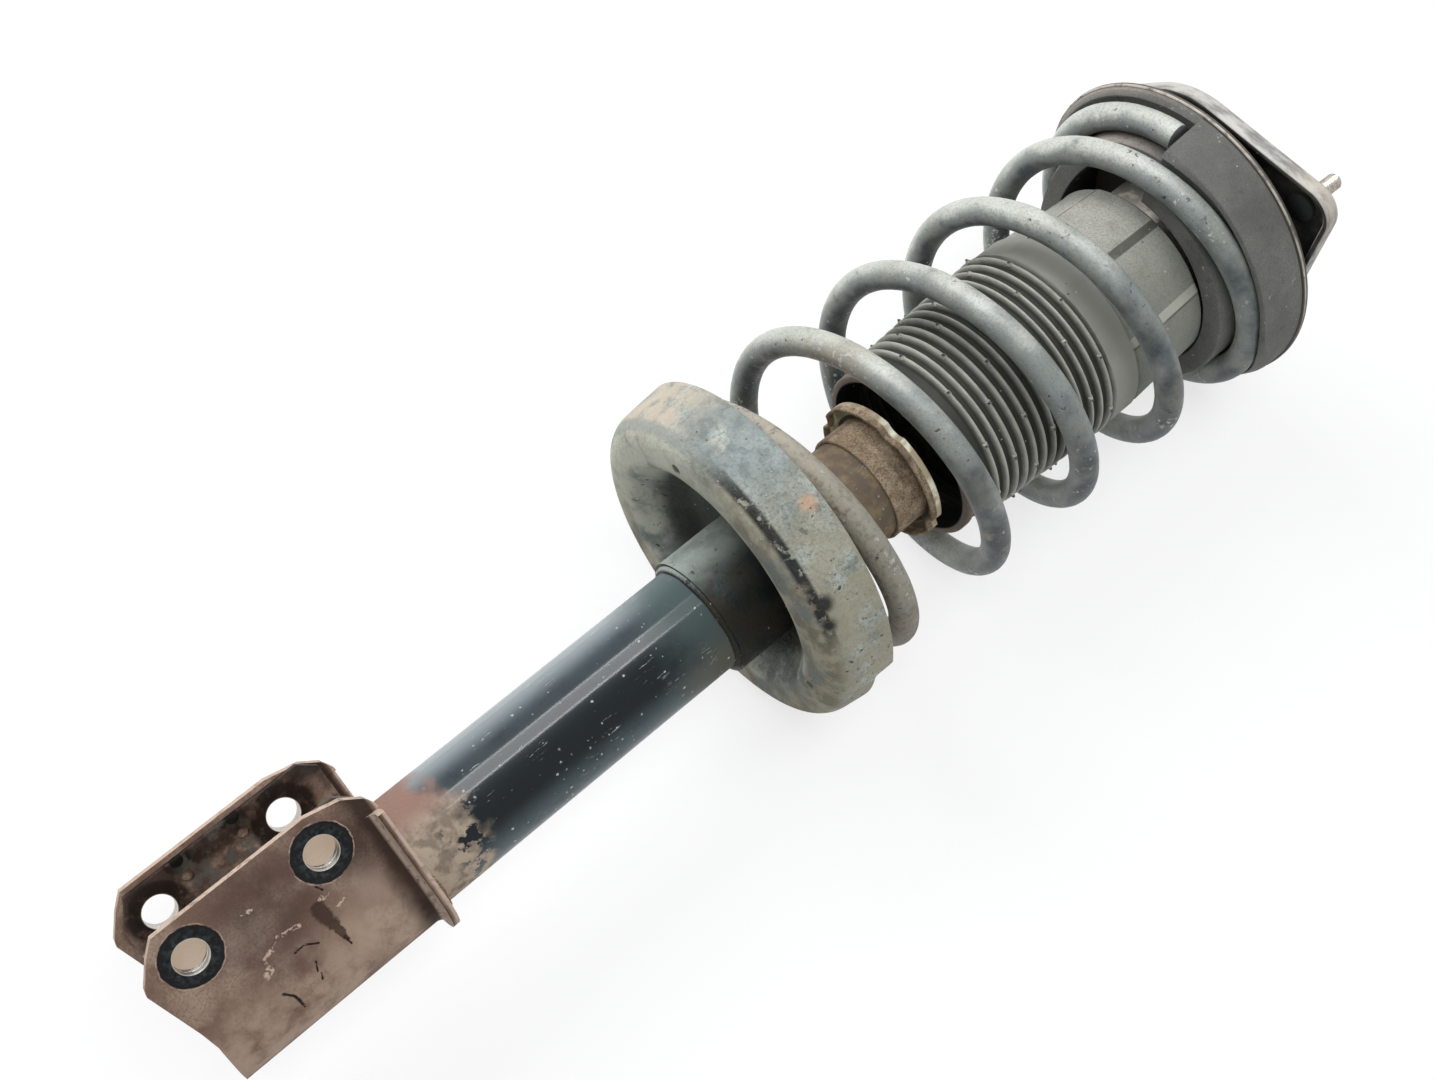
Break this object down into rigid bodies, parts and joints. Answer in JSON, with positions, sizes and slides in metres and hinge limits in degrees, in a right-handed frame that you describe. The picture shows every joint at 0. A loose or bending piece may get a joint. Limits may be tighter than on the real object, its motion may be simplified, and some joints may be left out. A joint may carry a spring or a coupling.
{
  "type": "coil-over suspension strut",
  "caption": "Twin-tube damper with a coil spring between two seats, a ribbed dust boot, a two-stud top plate and a two-bolt knuckle clevis.",
  "frame": {"origin": "midway between the two mounting studs, on the top plate's upper face, which meets the body shell", "axes": "+Z parallel to the damper's axis, which lies at x = -8.5 mm, towards the car's body; the spring, its seats and the top plate lean 2 degrees from it; +X the way the knuckle clevis opens; Y along the knuckle bolts"},
  "size_m": [0.17, 0.194, 0.6109],
  "materials": {
    "mount_paint": "worn black paint with a pale bare edge",
    "stud_steel": "worn thread, dull plating",
    "mount_rubber": "matt black bonded rubber",
    "plated_steel": "dull zinc plating",
    "seat_rubber": "dusty dark rubber",
    "bump_foam": "matt microcellular foam",
    "boot_rubber": "dusty grey-brown rubber",
    "spring_paint": "grey paint, rusty and dirty",
    "rod_chrome": "polished hard chrome",
    "sintered_iron": "sintered iron",
    "band_plastic": "low-friction plastic",
    "tube_paint": "glossy black paint, chipped",
    "bare_steel": "drawn steel, oily",
    "bush_bronze": "bronze bush liner",
    "seal_rubber": "oil seal rubber",
    "rusty_steel": "brown rusty steel with paint remains",
    "seat_paint": "grey-green paint with chips and rust"
  },
  "bodies": {
    "sprung": {"mount_shell": "mount_paint", "mount_studs": "stud_steel", "mount_rubber": "mount_rubber", "mount_hub": "plated_steel", "rod_washer": "plated_steel", "rod_nut": "plated_steel", "upper_seat": "mount_paint", "upper_insulator": "seat_rubber", "bump_cup": "plated_steel", "bump_stop": "bump_foam", "dust_boot": "boot_rubber", "coil_spring": "spring_paint", "piston_rod": "rod_chrome", "rebound_stop": "plated_steel", "piston_discs": "plated_steel", "piston": "sintered_iron", "piston_band": "band_plastic", "piston_nut": "plated_steel"},
    "housing": {"outer_tube": "tube_paint", "end_cap": "tube_paint", "pressure_tube": "bare_steel", "base_valve": "sintered_iron", "rod_guide": "sintered_iron", "guide_bush": "bush_bronze", "rod_seal": "seal_rubber", "bump_cap": "rusty_steel", "seat_sleeve": "rusty_steel", "lower_seat": "seat_paint", "seat_welds": "rusty_steel", "outer_bracket": "rusty_steel", "inner_bracket": "rusty_steel", "bracket_welds": "rusty_steel"}
  },
  "joints": [
    {"name": "strut_travel", "type": "slide", "parent": "sprung", "child": "housing", "axis": [0, 0, 1], "range_m": [0, 0.12], "stiffness_N_per_m": 25000, "springref_m": -0.05, "deforming": ["coil_spring", "dust_boot"]}
  ]
}
